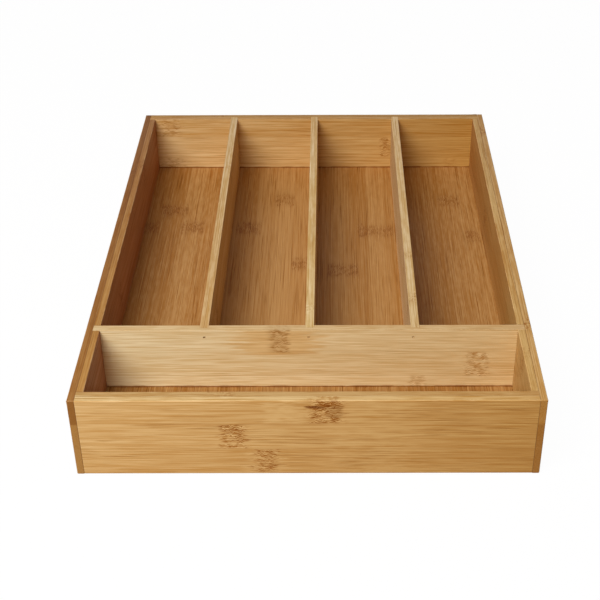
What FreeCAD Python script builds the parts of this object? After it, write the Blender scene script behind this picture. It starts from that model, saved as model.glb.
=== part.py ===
"""A bamboo cutlery tray with four long compartments and one cross compartment, in millimetres.

The tray stands on Z = 0, centred on X = 0 and Y = 0. Its front wall is at -Y and its long
compartments run along Y. Every wall is a board of two glued plies, so each joint is cut one
ply deep: the side walls' outer plies lap the ends of the front and back walls, the cross
divider is let into the side walls, and the long dividers are let into the back wall and,
by half its thickness, into the cross divider. The base panel sits in a groove in the inner
plies. Wire brads with a chisel point pin the joints, each in the hole that it cut for itself.
"""
import FreeCAD, Part
import os
import Sketcher

# Driving dimensions

SIZES = {
    "tray_width": (255, "outside, left to right"),
    "tray_depth": (350, "outside, front to back"),
    "tray_height": (51, "outside, bottom to top"),
    "ply_thickness": (4, "one of the two plies of a wall"),
    "floor_height": (10.5, "top face of the base panel"),
    "base_thickness": (4, "base panel, and the height of its groove"),
    "groove_depth": (3, "how far the base panel enters the inner plies"),
    "cross_setback": (65, "front of the tray to the front face of the cross divider"),
    "cross_thickness": (5, "cross divider"),
    "cross_housing": (2.5, "depth of the housings in the cross divider"),
    "divider_thickness": (5, "each long divider"),
    "divider_pitch": (60.5, "centre to centre of the long dividers"),
    "divider_shift": (0.5, "how far the middle divider stands right of the centre line"),
    "arris_radius": (0.5, "rounding of the edges that hands meet"),
    "brad_width": (1.25, "level side of a brad's flat wire"),
    "brad_thickness": (1, "upright side of a brad's flat wire"),
    "brad_length": (18, "a brad from its blunt end to its point"),
    "brad_chisel": (2, "length of a brad's chisel point"),
    "brad_sink": (0.6, "how deep a brad's blunt end lies under the wood's face"),
    "brad_pitch": (60, "centre to centre of the brads in the long dividers' ends"),
    "brad_below_top": (5, "top of the tray to the brads in the long dividers' ends"),
    "corner_brad_inset": (6, "front or back of the tray to its corner brads"),
    "corner_brad_low": (17, "height of the lower corner brads"),
    "corner_brad_spacing": (22, "height between the two brads of a corner"),
}

doc = FreeCAD.newDocument("CutleryTray")
sheet = doc.addObject("Spreadsheet::Sheet", "Sizes")
for row, (alias, (value, note)) in enumerate(SIZES.items(), start=1):
    sheet.set(f"A{row}", alias)
    sheet.set(f"B{row}", str(value))
    sheet.set(f"C{row}", note)
    sheet.setAlias(f"B{row}", alias)
doc.recompute()

# Lengths worked out from the driving dimensions, as the expressions that the features hold

ZERO = "0"
TOP = "Sizes.tray_height"
FLOOR = "Sizes.floor_height"
GROOVE_BOTTOM = "(Sizes.floor_height - Sizes.base_thickness)"
OUTER_X = "(Sizes.tray_width / 2)"
SEAM_X = "(Sizes.tray_width / 2 - Sizes.ply_thickness)"
INNER_X = "(Sizes.tray_width / 2 - 2 * Sizes.ply_thickness)"
OUTER_Y = "(Sizes.tray_depth / 2)"
SEAM_Y = "(Sizes.tray_depth / 2 - Sizes.ply_thickness)"
INNER_Y = "(Sizes.tray_depth / 2 - 2 * Sizes.ply_thickness)"
CROSS_FRONT = "(Sizes.cross_setback - Sizes.tray_depth / 2)"
CROSS_REAR = "(Sizes.cross_setback + Sizes.cross_thickness - Sizes.tray_depth / 2)"
CROSS_CENTRE = "(Sizes.cross_setback + Sizes.cross_thickness / 2 - Sizes.tray_depth / 2)"
DIVIDER_FRONT = f"({CROSS_REAR} - Sizes.cross_housing)"
HALF_DIVIDER = "(Sizes.divider_thickness / 2)"
DIVIDER_BRAD_Z = "(Sizes.tray_height - Sizes.brad_below_top)"
CORNER_BRAD_Y = "(Sizes.tray_depth / 2 - Sizes.corner_brad_inset)"
CROSS_BRAD_Z = "((Sizes.tray_height + Sizes.floor_height) / 2)"
CORNER_BRAD_HEIGHTS = (
    "Sizes.corner_brad_low",
    "(Sizes.corner_brad_low + Sizes.corner_brad_spacing)",
)

# The three long dividers stand a pitch apart, from left to right
DIVIDER_STEPS = (-1, 0, 1)


def divider_x(step):
    """The centre line of a long divider, as an expression."""
    return f"(Sizes.divider_shift + {step} * Sizes.divider_pitch)"


# Where the brads are. Each is the middle of a blunt end, and the way that the point faces


def divider_front_brad(step):
    """Driven in through the cross divider's front face."""
    return (f"({step} * Sizes.brad_pitch)", f"({CROSS_FRONT} + Sizes.brad_sink)", 0, 1)


def divider_rear_brad(step):
    """Driven in through the back wall's outer face."""
    return (f"({step} * Sizes.brad_pitch)", f"({OUTER_Y} - Sizes.brad_sink)", 0, -1)


def side_brad(sign, along_y):
    """Driven in through the left wall where sign is -1, and through the right wall where it is 1."""
    return (f"({sign} * ({OUTER_X} - Sizes.brad_sink))", along_y, -sign, 0)


# Tools for sketches and features

def new_body(label):
    """A body whose label names its file."""
    body = doc.addObject("PartDesign::Body", label)
    body.Label = label
    body.Placement = FreeCAD.Placement()
    return body


def origin_feature(body, role):
    """One of the body's own origin planes or axes."""
    return next(item for item in body.Origin.OriginFeatures if item.Role == role)


def sketch_on(body, name, role, offset=ZERO):
    """A sketch on one of the body's origin planes, moved along the plane's normal.

    XY_Plane faces +Z and draws X, Y. XZ_Plane faces -Y and draws X, Z. YZ_Plane faces +X
    and draws Y, Z.
    """
    sketch = body.newObject("Sketcher::SketchObject", f"{body.Name}_{name}")
    sketch.AttachmentSupport = [(origin_feature(body, role), "")]
    sketch.MapMode = "FlatFace"
    sketch.setExpression("AttachmentOffset.Base.z", offset)
    return sketch


def bind(sketch, constraint, name, expression):
    """Adds a named dimension that follows an expression."""
    index = sketch.addConstraint(constraint)
    sketch.renameConstraint(index, name)
    sketch.setExpression(f"Constraints.{name}", expression)


def polygon(sketch, points):
    """Joins the points, which are pairs of expressions, by straight lines into a closed outline."""
    first = sketch.GeometryCount
    count = len(points)
    rough = [FreeCAD.Vector(*(number_of(value) for value in point)) for point in points]
    for index, start in enumerate(rough):
        sketch.addGeometry(Part.LineSegment(start, rough[(index + 1) % count]), False)
    for index in range(count):
        following = first + (index + 1) % count
        sketch.addConstraint(Sketcher.Constraint("Coincident", first + index, 2, following, 1))
    for index, (across, up) in enumerate(points):
        line = first + index
        corner = f"corner_{line + 1}"
        x_start = Sketcher.Constraint("DistanceX", -1, 1, line, 1, rough[index].x)
        y_start = Sketcher.Constraint("DistanceY", -1, 1, line, 1, rough[index].y)
        bind(sketch, x_start, f"{corner}_across", across)
        bind(sketch, y_start, f"{corner}_up", up)


def number_of(expression):
    """The value that an expression has now, in millimetres."""
    value = sheet.evalExpression(expression.replace("Sizes.", ""))
    return float(getattr(value, "Value", value))


def rectangle(sketch, left, bottom, right, top):
    """A rectangle with its sides at four expressions."""
    polygon(sketch, [(left, bottom), (right, bottom), (right, top), (left, top)])


def brad_outline(sketch, brad, starts_at):
    """Draws a brad as seen from above, from a distance along it to its chisel point."""
    blunt_x, blunt_y, way_x, way_y = brad
    half = "(Sizes.brad_width / 2)"
    shoulder = "(Sizes.brad_length - Sizes.brad_chisel)"
    outline = [
        (starts_at, negative(half)),
        (shoulder, negative(half)),
        ("Sizes.brad_length", ZERO),
        (shoulder, half),
        (starts_at, half),
    ]
    polygon(sketch, [
        (
            f"{blunt_x} + {way_x} * ({along}) - {way_y} * ({aside})",
            f"{blunt_y} + {way_y} * ({along}) + {way_x} * ({aside})",
        )
        for along, aside in outline
    ])


def pad(body, sketch, length):
    """Raises a sketch into a board along its plane's normal."""
    feature = body.newObject("PartDesign::Pad", f"{body.Name}_board")
    feature.Profile = sketch
    feature.setExpression("Length", length)
    sketch.Visibility = False
    doc.recompute()
    return feature


def checked_cut(body, feature, volume_before):
    """Recomputes a cut and makes sure that it took wood away."""
    doc.recompute()
    if not body.Shape.Volume < volume_before - 1e-6:
        raise RuntimeError(f"{feature.Name} cuts nothing")
    return feature


def pocket(body, sketch, name, length, along_normal=False):
    """Cuts a sketch into the body, against its plane's normal or along it."""
    volume = body.Shape.Volume
    feature = body.newObject("PartDesign::Pocket", f"{body.Name}_{name}")
    feature.Profile = sketch
    feature.Reversed = along_normal
    feature.setExpression("Length", length)
    sketch.Visibility = False
    return checked_cut(body, feature, volume)


def brad_holes(body, name, brads, height):
    """Cuts the holes of the brads at one height, each from the wood's face to the point."""
    sketch = sketch_on(body, f"{name}_outlines", "XY_Plane", height)
    for brad in brads:
        brad_outline(sketch, brad, "-Sizes.brad_sink")
    volume = body.Shape.Volume
    feature = body.newObject("PartDesign::Pocket", f"{body.Name}_{name}")
    feature.Profile = sketch
    feature.SideType = "Symmetric"
    feature.setExpression("Length", "Sizes.brad_thickness")
    sketch.Visibility = False
    return checked_cut(body, feature, volume)


def round_arrises(body, wanted):
    """Rounds the straight edges of a board whose middle point is wanted."""
    base = body.Tip
    names = [
        f"Edge{number}"
        for number, edge in enumerate(base.Shape.Edges, start=1)
        if wanted(edge.CenterOfMass)
    ]
    feature = body.newObject("PartDesign::Fillet", f"{body.Name}_arrises")
    feature.Base = (base, names)
    feature.setExpression("Radius", "Sizes.arris_radius")
    doc.recompute()
    return feature


def near(value, expression):
    """Whether a coordinate is at an expression's value."""
    return abs(value - number_of(expression)) < 1e-4


def negative(expression):
    return f"-{expression}"


def nearer_and_further(sign, first, second):
    """Two distances from the middle as coordinates in rising order, on the side that sign gives."""
    if sign > 0:
        return second, first
    return negative(first), negative(second)


# The walls: eight plies

def side_outer_ply(label, sign):
    """Runs the whole depth of the tray, and laps the ends of the front and back walls."""
    body = new_body(label)
    left, right = nearer_and_further(sign, OUTER_X, SEAM_X)
    plan = sketch_on(body, "plan", "XY_Plane")
    rectangle(plan, left, negative(OUTER_Y), right, OUTER_Y)
    pad(body, plan, TOP)
    glued = f"{sign} * {SEAM_X}"
    round_arrises(body, lambda middle: not near(middle.x, glued))
    corners = [side_brad(sign, negative(CORNER_BRAD_Y)), side_brad(sign, CORNER_BRAD_Y)]
    for height in CORNER_BRAD_HEIGHTS:
        brad_holes(body, "corner_brad_holes", corners, height)
    brad_holes(body, "cross_brad_hole", [side_brad(sign, CROSS_CENTRE)], CROSS_BRAD_Z)
    return body


def side_inner_ply(label, sign):
    """Ends at the front and back walls. It has the base groove and the cross divider's housing."""
    body = new_body(label)
    left, right = nearer_and_further(sign, SEAM_X, INNER_X)
    plan = sketch_on(body, "plan", "XY_Plane")
    rectangle(plan, left, negative(INNER_Y), right, INNER_Y)
    pad(body, plan, TOP)
    inner_face = f"{sign} * {INNER_X}"
    round_arrises(body, lambda middle: near(middle.x, inner_face) and near(middle.y, ZERO))
    groove = sketch_on(body, "groove_profile", "YZ_Plane", inner_face)
    rectangle(groove, negative(INNER_Y), GROOVE_BOTTOM, INNER_Y, FLOOR)
    pocket(body, groove, "base_groove", "Sizes.groove_depth", along_normal=sign > 0)
    housing = sketch_on(body, "housing_profile", "YZ_Plane", inner_face)
    rectangle(housing, CROSS_FRONT, FLOOR, CROSS_REAR, TOP)
    pocket(body, housing, "cross_divider_housing", "Sizes.ply_thickness", along_normal=sign > 0)
    return body


def end_outer_ply(label, sign):
    """The outer face of the front or back wall, between the side walls' outer plies."""
    body = new_body(label)
    near_side, far_side = nearer_and_further(sign, OUTER_Y, SEAM_Y)
    plan = sketch_on(body, "plan", "XY_Plane")
    rectangle(plan, negative(SEAM_X), near_side, SEAM_X, far_side)
    pad(body, plan, TOP)
    face = f"{sign} * {OUTER_Y}"
    round_arrises(body, lambda middle: near(middle.y, face) and near(middle.x, ZERO))
    return body


def end_inner_ply(label, sign):
    """The inner face of the front or back wall, with the base groove and the corner brads' holes."""
    body = new_body(label)
    near_side, far_side = nearer_and_further(sign, SEAM_Y, INNER_Y)
    plan = sketch_on(body, "plan", "XY_Plane")
    rectangle(plan, negative(SEAM_X), near_side, SEAM_X, far_side)
    pad(body, plan, TOP)
    inner_face = f"{sign} * {INNER_Y}"
    round_arrises(body, lambda middle: near(middle.y, inner_face) and near(middle.x, ZERO))
    # XZ_Plane faces -Y, so an offset along its normal is minus Y
    plane_offset = f"{-sign} * {INNER_Y}"
    groove = sketch_on(body, "groove_profile", "XZ_Plane", plane_offset)
    rectangle(groove, negative(SEAM_X), GROOVE_BOTTOM, SEAM_X, FLOOR)
    pocket(body, groove, "base_groove", "Sizes.groove_depth", along_normal=sign < 0)
    ends = [side_brad(side, f"{sign} * {CORNER_BRAD_Y}") for side in (-1, 1)]
    for height in CORNER_BRAD_HEIGHTS:
        brad_holes(body, "corner_brad_holes", ends, height)
    return body


def back_wall_joints(inner_ply, outer_ply):
    """Cuts the long dividers' housings in the back wall, and the holes of the brads behind them."""
    housings = sketch_on(inner_ply, "housing_profiles", "XZ_Plane", negative(INNER_Y))
    for step in DIVIDER_STEPS:
        centre = divider_x(step)
        rectangle(housings, f"{centre} - {HALF_DIVIDER}", FLOOR, f"{centre} + {HALF_DIVIDER}", TOP)
    pocket(inner_ply, housings, "divider_housings", "Sizes.ply_thickness")
    rear_brads = [divider_rear_brad(step) for step in DIVIDER_STEPS]
    brad_holes(outer_ply, "brad_holes", rear_brads, DIVIDER_BRAD_Z)


# The dividers

def cross_divider(label):
    """Stands on the base panel, with its ends in the side walls and three housings behind."""
    body = new_body(label)
    plan = sketch_on(body, "plan", "XY_Plane", FLOOR)
    rectangle(plan, negative(SEAM_X), CROSS_FRONT, SEAM_X, CROSS_REAR)
    pad(body, plan, f"{TOP} - {FLOOR}")
    round_arrises(body, lambda middle: near(middle.z, TOP) and near(middle.x, ZERO))
    housings = sketch_on(body, "housing_profiles", "XZ_Plane", negative(CROSS_REAR))
    for step in DIVIDER_STEPS:
        centre = divider_x(step)
        rectangle(housings, f"{centre} - {HALF_DIVIDER}", FLOOR, f"{centre} + {HALF_DIVIDER}", TOP)
    pocket(body, housings, "divider_housings", "Sizes.cross_housing", along_normal=True)
    front_brads = [divider_front_brad(step) for step in DIVIDER_STEPS]
    brad_holes(body, "front_brad_holes", front_brads, DIVIDER_BRAD_Z)
    end_brads = [side_brad(side, CROSS_CENTRE) for side in (-1, 1)]
    brad_holes(body, "end_brad_holes", end_brads, CROSS_BRAD_Z)
    return body


def long_divider(label, step):
    """One of the three long dividers, drawn about its own centre line and then set in its place."""
    body = new_body(label)
    plan = sketch_on(body, "plan", "XY_Plane", FLOOR)
    rectangle(plan, negative(HALF_DIVIDER), DIVIDER_FRONT, HALF_DIVIDER, SEAM_Y)
    pad(body, plan, f"{TOP} - {FLOOR}")
    middle_y = f"({DIVIDER_FRONT} + {SEAM_Y}) / 2"
    round_arrises(body, lambda middle: near(middle.z, TOP) and near(middle.y, middle_y))
    own_brads = []
    for brad_x, *rest in (divider_front_brad(step), divider_rear_brad(step)):
        own_brads.append((f"({brad_x} - {divider_x(step)})", *rest))
    brad_holes(body, "brad_holes", own_brads, DIVIDER_BRAD_Z)
    body.setExpression("Placement.Base.x", divider_x(step))
    return body


# The base

def base_panel(label):
    """A thin panel whose four edges fill the groove in the inner plies."""
    body = new_body(label)
    half_width = f"({INNER_X} + Sizes.groove_depth)"
    half_depth = f"({INNER_Y} + Sizes.groove_depth)"
    plan = sketch_on(body, "plan", "XY_Plane", GROOVE_BOTTOM)
    rectangle(plan, negative(half_width), negative(half_depth), half_width, half_depth)
    pad(body, plan, "Sizes.base_thickness")
    return body


# The brads

def brad_group(label, brads, height, rows=1):
    """Like brads, each a solid of its own, in one row or in rows one above the other."""
    body = new_body(label)
    sketch = sketch_on(body, "outlines", "XY_Plane", height)
    for brad in brads:
        brad_outline(sketch, brad, ZERO)
    wires = body.newObject("PartDesign::Pad", f"{body.Name}_wires")
    wires.Profile = sketch
    wires.SideType = "Symmetric"
    wires.setExpression("Length", "Sizes.brad_thickness")
    sketch.Visibility = False
    if rows > 1:
        pattern = body.newObject("PartDesign::LinearPattern", f"{body.Name}_rows")
        pattern.Originals = [wires]
        pattern.Direction = (origin_feature(body, "Z_Axis"), [""])
        pattern.setExpression("Length", f"{rows - 1} * Sizes.corner_brad_spacing")
        pattern.Occurrences = rows
        body.Tip = pattern
    doc.recompute()
    if len(body.Shape.Solids) != rows * len(brads):
        raise RuntimeError(f"{label} lacks a brad")
    return body


# The tray, piece by piece

parts = [
    side_outer_ply("left_side_outer_ply", -1),
    side_inner_ply("left_side_inner_ply", -1),
    side_outer_ply("right_side_outer_ply", 1),
    side_inner_ply("right_side_inner_ply", 1),
    end_outer_ply("front_wall_outer_ply", -1),
    end_inner_ply("front_wall_inner_ply", -1),
    end_outer_ply("back_wall_outer_ply", 1),
    end_inner_ply("back_wall_inner_ply", 1),
    base_panel("base_panel"),
    cross_divider("cross_divider"),
]
back_wall_joints(inner_ply=parts[7], outer_ply=parts[6])
for name, step in zip(("left", "centre", "right"), DIVIDER_STEPS):
    parts.append(long_divider(f"divider_{name}", step))
front_brads = [divider_front_brad(step) for step in DIVIDER_STEPS]
rear_brads = [divider_rear_brad(step) for step in DIVIDER_STEPS]
cross_end_brads = [side_brad(side, CROSS_CENTRE) for side in (-1, 1)]
front_corner_brads = [side_brad(side, negative(CORNER_BRAD_Y)) for side in (-1, 1)]
back_corner_brads = [side_brad(side, CORNER_BRAD_Y) for side in (-1, 1)]
corner_low = CORNER_BRAD_HEIGHTS[0]
corner_rows = len(CORNER_BRAD_HEIGHTS)
parts += [
    brad_group("brads_divider_fronts", front_brads, DIVIDER_BRAD_Z),
    brad_group("brads_divider_rears", rear_brads, DIVIDER_BRAD_Z),
    brad_group("brads_cross_divider_ends", cross_end_brads, CROSS_BRAD_Z),
    brad_group("brads_front_corners", front_corner_brads, corner_low, corner_rows),
    brad_group("brads_back_corners", back_corner_brads, corner_low, corner_rows),
]
doc.recompute()

# Checks, and one file for each piece

for item in doc.Objects:
    if {"Invalid", "Error"} & set(item.State):
        raise RuntimeError(f"{item.Name} is {item.State}")
for part in parts:
    if part.Shape.isNull() or not part.Shape.isValid():
        raise RuntimeError(f"{part.Label} has no valid shape")

os.makedirs("parts", exist_ok=True)
for part in parts:
    part.Shape.exportStep(f"parts/{part.Label}.step")
    box = part.Shape.BoundBox
    print(
        f"{part.Label}: {len(part.Shape.Solids)} solid, {part.Shape.Volume:.1f} mm3, "
        f"X {box.XMin:.2f} to {box.XMax:.2f}, Y {box.YMin:.2f} to {box.YMax:.2f}, "
        f"Z {box.ZMin:.2f} to {box.ZMax:.2f}"
    )
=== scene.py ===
# %% [markdown]
# # A bamboo cutlery tray
#
# The tray lies in a kitchen drawer: one wide compartment in front, and four long ones behind it
# for knives, forks, spoons and the rest. It is plain joinery in bamboo board. Its solids, with
# every joint, come from the CAD model. Here each board is modelled again over its solid, with the
# small marks that a workshop leaves on it, and gets its finish.
#
# The solids are the frame that everything is set against, so they are loaded first. The box around them
# is kept, and every finished board is built inside it.

import math
import random

import bpy
from mathutils import Matrix, Vector


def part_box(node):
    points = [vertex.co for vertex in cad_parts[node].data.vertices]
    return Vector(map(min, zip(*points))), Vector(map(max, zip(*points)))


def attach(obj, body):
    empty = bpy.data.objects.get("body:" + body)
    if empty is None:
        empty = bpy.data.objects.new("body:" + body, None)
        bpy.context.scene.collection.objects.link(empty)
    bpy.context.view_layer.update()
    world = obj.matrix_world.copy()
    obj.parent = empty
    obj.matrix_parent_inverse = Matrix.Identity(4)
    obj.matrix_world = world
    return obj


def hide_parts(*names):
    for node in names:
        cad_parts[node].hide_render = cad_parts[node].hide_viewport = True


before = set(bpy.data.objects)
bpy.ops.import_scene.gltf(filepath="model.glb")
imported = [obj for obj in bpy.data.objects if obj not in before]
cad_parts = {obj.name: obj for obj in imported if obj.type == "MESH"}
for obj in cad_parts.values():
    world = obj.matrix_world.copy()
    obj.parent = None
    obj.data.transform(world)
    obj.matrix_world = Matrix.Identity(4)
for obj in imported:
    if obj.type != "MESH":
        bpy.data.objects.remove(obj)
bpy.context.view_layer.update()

# %% [markdown]
# ## The camera
#
# The photograph was taken from in front and above, a little right of the middle. A camera is
# known by the place of its eye, the way it looks and its lens. These were worked out from the
# tray's own straight edges, so the render lies on the photograph edge for edge.
#
# Photographs are often trimmed after they are taken, so the point that the lens looked at need
# not be the middle of the picture. The two shift values stand for that trim. Another way would be
# to turn the camera until the tray fills the frame, but then its edges converge wrongly.

# %% The camera
MM = 0.001
PICTURE_SIDE = 600
SENSOR = 36.0
lens_in_pixels = 1238.3
aim_column = 327.3
aim_row = 331.1
eye_place = Vector((13.05, -688.96, 457.03)) * MM
looks_down = math.radians(35.09)
turned_left = math.radians(0.24)
leans = math.radians(-0.26)

camera_data = bpy.data.cameras.new("camera")
camera_data.sensor_width = SENSOR
camera_data.lens = lens_in_pixels / PICTURE_SIDE * SENSOR
camera_data.shift_x = (PICTURE_SIDE / 2 - aim_column) / PICTURE_SIDE
camera_data.shift_y = (aim_row - PICTURE_SIDE / 2) / PICTURE_SIDE
camera_data.clip_start = 0.05
camera_data.clip_end = 20.0
camera = bpy.data.objects.new("camera", camera_data)
bpy.context.scene.collection.objects.link(camera)
camera.matrix_world = (
    Matrix.Translation(eye_place)
    @ Matrix.Rotation(turned_left, 4, "Z")
    @ Matrix.Rotation(math.pi / 2 - looks_down, 4, "X")
    @ Matrix.Rotation(leans, 4, "Z")
)
bpy.context.scene.camera = camera
print("lens", round(camera_data.lens, 1), "mm, shift", camera_data.shift_x, camera_data.shift_y)

# %% [markdown]
# ## The studio
#
# One broad soft lamp hangs high in front of the tray, to the left. It lights the front and the
# cross divider well, and leaves the left side of each compartment in shade. The white room around
# it fills that shade. Together they give about the light at which a paint shows as it was mixed,
# so every finish below can be judged by its own colour.
#
# The table under the tray is white and keeps a soft shadow. What the camera sees of it is part
# plain white and part lit table, so the background stays white without more light on the wood.

# %% The studio
ROOM_LIGHT = 0.21
ROOM_COLOUR = (1.0, 0.7, 0.56, 1.0)
LAMP_POWER = 40.0
LAMP_SIDE = 1.2
lamp_place = Vector((-0.62, -1.05, 1.4))
lamp_target = Vector((0.0, -0.02, 0.0))

lamp_data = bpy.data.lights.new("soft_lamp", "AREA")
lamp_data.shape = "SQUARE"
lamp_data.size = LAMP_SIDE
lamp_data.energy = LAMP_POWER
lamp = bpy.data.objects.new("soft_lamp", lamp_data)
bpy.context.scene.collection.objects.link(lamp)
lamp.location = lamp_place
lamp.rotation_euler = (lamp_target - lamp_place).to_track_quat("-Z", "Y").to_euler()

bpy.context.scene.view_settings.view_transform = "Standard"
print("lamp", LAMP_POWER, "W at", round((lamp_place - lamp_target).length, 2), "m")


# %% [markdown]
# Materials are made of nodes that are wired together. These small helpers do the wiring, so that
# each finish below reads as a list of what happens to the colour.
#
# - `plug` puts a number, a colour or another node's output into a socket.
# - `tree_of` finds the node tree that the values come from, so a new node is put beside them.
# - `work_out` is a Math node, and `times` is the one used most.
# - `ramp` turns a range of values into another range, with soft ends.
# - `mix_paints` lays one colour over another by a share.
# - `new_finish` starts a material and gives its node tree and its shader too.

# %% Helpers for nodes
def plug(value, socket):
    """Puts a number, a colour or another node's output into a socket."""
    if isinstance(value, bpy.types.NodeSocket):
        socket.id_data.links.new(value, socket)
    else:
        socket.default_value = value


def tree_of(*values):
    """The node tree of the first socket among these values."""
    return next(value.id_data for value in values if isinstance(value, bpy.types.NodeSocket))


def work_out(operation, first, second=0.0):
    """A Math node's output."""
    node = tree_of(first, second).nodes.new("ShaderNodeMath")
    node.operation = operation
    plug(first, node.inputs[0])
    plug(second, node.inputs[1])
    return node.outputs[0]


def times(first, second):
    """One value times another."""
    return work_out("MULTIPLY", first, second)


def ramp(value, start, end, low=0.0, high=1.0):
    """Rises smoothly from low at start to high at end."""
    node = tree_of(value).nodes.new("ShaderNodeMapRange")
    node.interpolation_type = "SMOOTHSTEP"
    plug(value, node.inputs["Value"])
    plug(start, node.inputs["From Min"])
    plug(end, node.inputs["From Max"])
    plug(low, node.inputs["To Min"])
    plug(high, node.inputs["To Max"])
    return node.outputs["Result"]


def mix_paints(share, first, second, way="MIX"):
    """Lays the second colour over the first."""
    node = tree_of(share).nodes.new("ShaderNodeMix")
    node.data_type = "RGBA"
    node.blend_type = way
    plug(share, node.inputs[0])
    plug(first, node.inputs[6])
    plug(second, node.inputs[7])
    return node.outputs[2]


def new_finish(name, specular):
    """A material with little shine, its node tree and its shader."""
    finish = bpy.data.materials.new(name)
    finish.use_nodes = True
    tree = finish.node_tree
    shader = tree.nodes["Principled BSDF"]
    shader.inputs["Specular IOR Level"].default_value = specular
    return finish, tree, shader


# %% [markdown]
# The table and the room. Light Path tells a material what kind of ray has met it. Rays from the
# camera, from a mirror and through glass belong to the eye, and they meet white. Rays that carry
# light meet a grey table and a dim, warm room, so the wood gets no more light than the lamp and
# the room are set to. The lamp could be turned up until the table is white, but that would bleach
# the tray.

# %% The white table and the room
WHITE = (1.0, 1.0, 1.0, 1.0)
WHITE_SHARE = 0.975
TABLE_FOR_EYES = (0.95, 0.95, 0.95, 1.0)
TABLE_FOR_LIGHT = (0.5, 0.5, 0.5, 1.0)
TABLE_SIDE = 6.0
TABLE_GAP = 0.1 * MM


def for_eyes(tree):
    """1 for rays of the eye, 0 for rays of light."""
    paths = tree.nodes.new("ShaderNodeLightPath").outputs
    seen = work_out("MAXIMUM", paths["Is Camera Ray"], paths["Is Glossy Ray"])
    return work_out("MAXIMUM", seen, paths["Is Transmission Ray"])


world = bpy.data.worlds.new("white_room")
world.use_nodes = True
bpy.context.scene.world = world
room = world.node_tree
room.nodes.clear()
seen = for_eyes(room)
background = room.nodes.new("ShaderNodeBackground")
plug(mix_paints(seen, ROOM_COLOUR, WHITE), background.inputs["Color"])
plug(ramp(seen, 0.0, 1.0, ROOM_LIGHT, 1.0), background.inputs["Strength"])
room_out = room.nodes.new("ShaderNodeOutputWorld")
plug(background.outputs[0], room_out.inputs[0])

table_finish, tree, shader = new_finish("white_table", specular=0.2)
shader.inputs["Roughness"].default_value = 0.9
seen = for_eyes(tree)
plug(mix_paints(seen, TABLE_FOR_LIGHT, TABLE_FOR_EYES), shader.inputs["Base Color"])
plain_white = tree.nodes.new("ShaderNodeEmission")
table_mix = tree.nodes.new("ShaderNodeMixShader")
plug(times(seen, WHITE_SHARE), table_mix.inputs[0])
plug(shader.outputs[0], table_mix.inputs[1])
plug(plain_white.outputs[0], table_mix.inputs[2])
plug(table_mix.outputs[0], tree.nodes["Material Output"].inputs[0])

bpy.ops.object.select_all(action="DESELECT")
bpy.ops.mesh.primitive_plane_add(size=TABLE_SIDE, location=(0, 0, -TABLE_GAP))
table = bpy.context.object
table.name = "table"
table.data.materials.append(table_finish)
print("table", tuple(table.dimensions))

# %% [markdown]
# ## A board
#
# Every board starts as a block that has the size and the place of its solid. Joints are cut out
# of it with cutter blocks and the Boolean modifier, as a router would cut them. Last, its edges
# are eased. The edges that hands meet were sanded round by half a millimetre, and the edges
# inside a joint were only broken by a stroke of sandpaper, which leaves the hairline that shows
# where two boards meet.
#
# The Bevel modifier does both at once, because every edge can carry its own weight. After it, the
# narrow new faces are marked by two attributes, one for rounded arrises and one for joints. The finish
# reads them to put paler wood on the first, partly rubbed wear and partly a painted highlight, and a
# trace of old glue in the second.

# %% Blocks and cuts
ROUNDING = 0.5 * MM
BROKEN_EDGE = 0.14 * MM
SAME_PLACE = 0.01 * MM
EDGE_REACH = 0.6 * MM
FLAT_FACE = 0.999


def pick(piece):
    """Selects one piece alone, for the operators that come next."""
    bpy.ops.object.select_all(action="DESELECT")
    bpy.context.view_layer.objects.active = piece
    piece.select_set(True)


def block(name, low, high):
    """A block between two corners, with its place in its mesh."""
    low = Vector(low)
    high = Vector(high)
    bpy.ops.object.select_all(action="DESELECT")
    bpy.ops.mesh.primitive_cube_add(size=1, location=(low + high) / 2, scale=high - low)
    bpy.ops.object.transform_apply(location=True, rotation=True, scale=True)
    made = bpy.context.object
    made.name = name
    return made


def cut(board, cutter):
    """Takes a cutter's shape out of a board, and puts the cutter away."""
    pick(board)
    bite = board.modifiers.new("cut", "BOOLEAN")
    bite.operation = "DIFFERENCE"
    bite.solver = "EXACT"
    bite.object = cutter
    bpy.ops.object.modifier_apply(modifier=bite.name)
    bpy.data.objects.remove(cutter)


def on_planes(point, planes, slack):
    """Whether a point lies on every one of these planes, each an axis number and a place."""
    return all(abs(point[axis] - place) < slack for axis, place in planes)


def ease_edges(board, arrises):
    """Rounds the arrises, each given by the two faces that meet in it, and breaks the other edges."""
    mesh = board.data
    places = {}
    for axis in range(3):
        values = [v.co[axis] for v in mesh.vertices]
        places[(axis, -1)] = min(values)
        places[(axis, 1)] = max(values)
    pairs = [[(axis, places[(axis, side)]) for axis, side in pair] for pair in arrises]
    weights = mesh.attributes.new("bevel_weight_edge", "FLOAT", "EDGE")
    for edge in mesh.edges:
        ends = [mesh.vertices[i].co for i in edge.vertices]
        rounded = any(all(on_planes(end, pair, SAME_PLACE) for end in ends) for pair in pairs)
        weights.data[edge.index].value = 1.0 if rounded else BROKEN_EDGE / ROUNDING
    pick(board)
    bevel = board.modifiers.new("ease", "BEVEL")
    bevel.limit_method = "WEIGHT"
    bevel.width = ROUNDING
    bevel.segments = 3
    bpy.ops.object.modifier_apply(modifier=bevel.name)
    # Rounded arrises get paler paint: partly rubbed wear, partly a painted highlight.
    rubbed_and_highlit = mesh.attributes.new("rubbed_and_highlit_arris", "FLOAT", "FACE")
    joint = mesh.attributes.new("joint_edge", "FLOAT", "FACE")
    for face in mesh.polygons:
        if max(abs(part) for part in face.normal) > FLAT_FACE:
            continue
        if any(on_planes(face.center, pair, EDGE_REACH) for pair in pairs):
            rubbed_and_highlit.data[face.index].value = 1.0
        else:
            joint.data[face.index].value = 1.0
    bpy.ops.object.shade_smooth()
    smoother = board.modifiers.new("flat_faces", "WEIGHTED_NORMAL")
    smoother.keep_sharp = True
    bpy.ops.object.modifier_apply(modifier=smoother.name)


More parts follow.
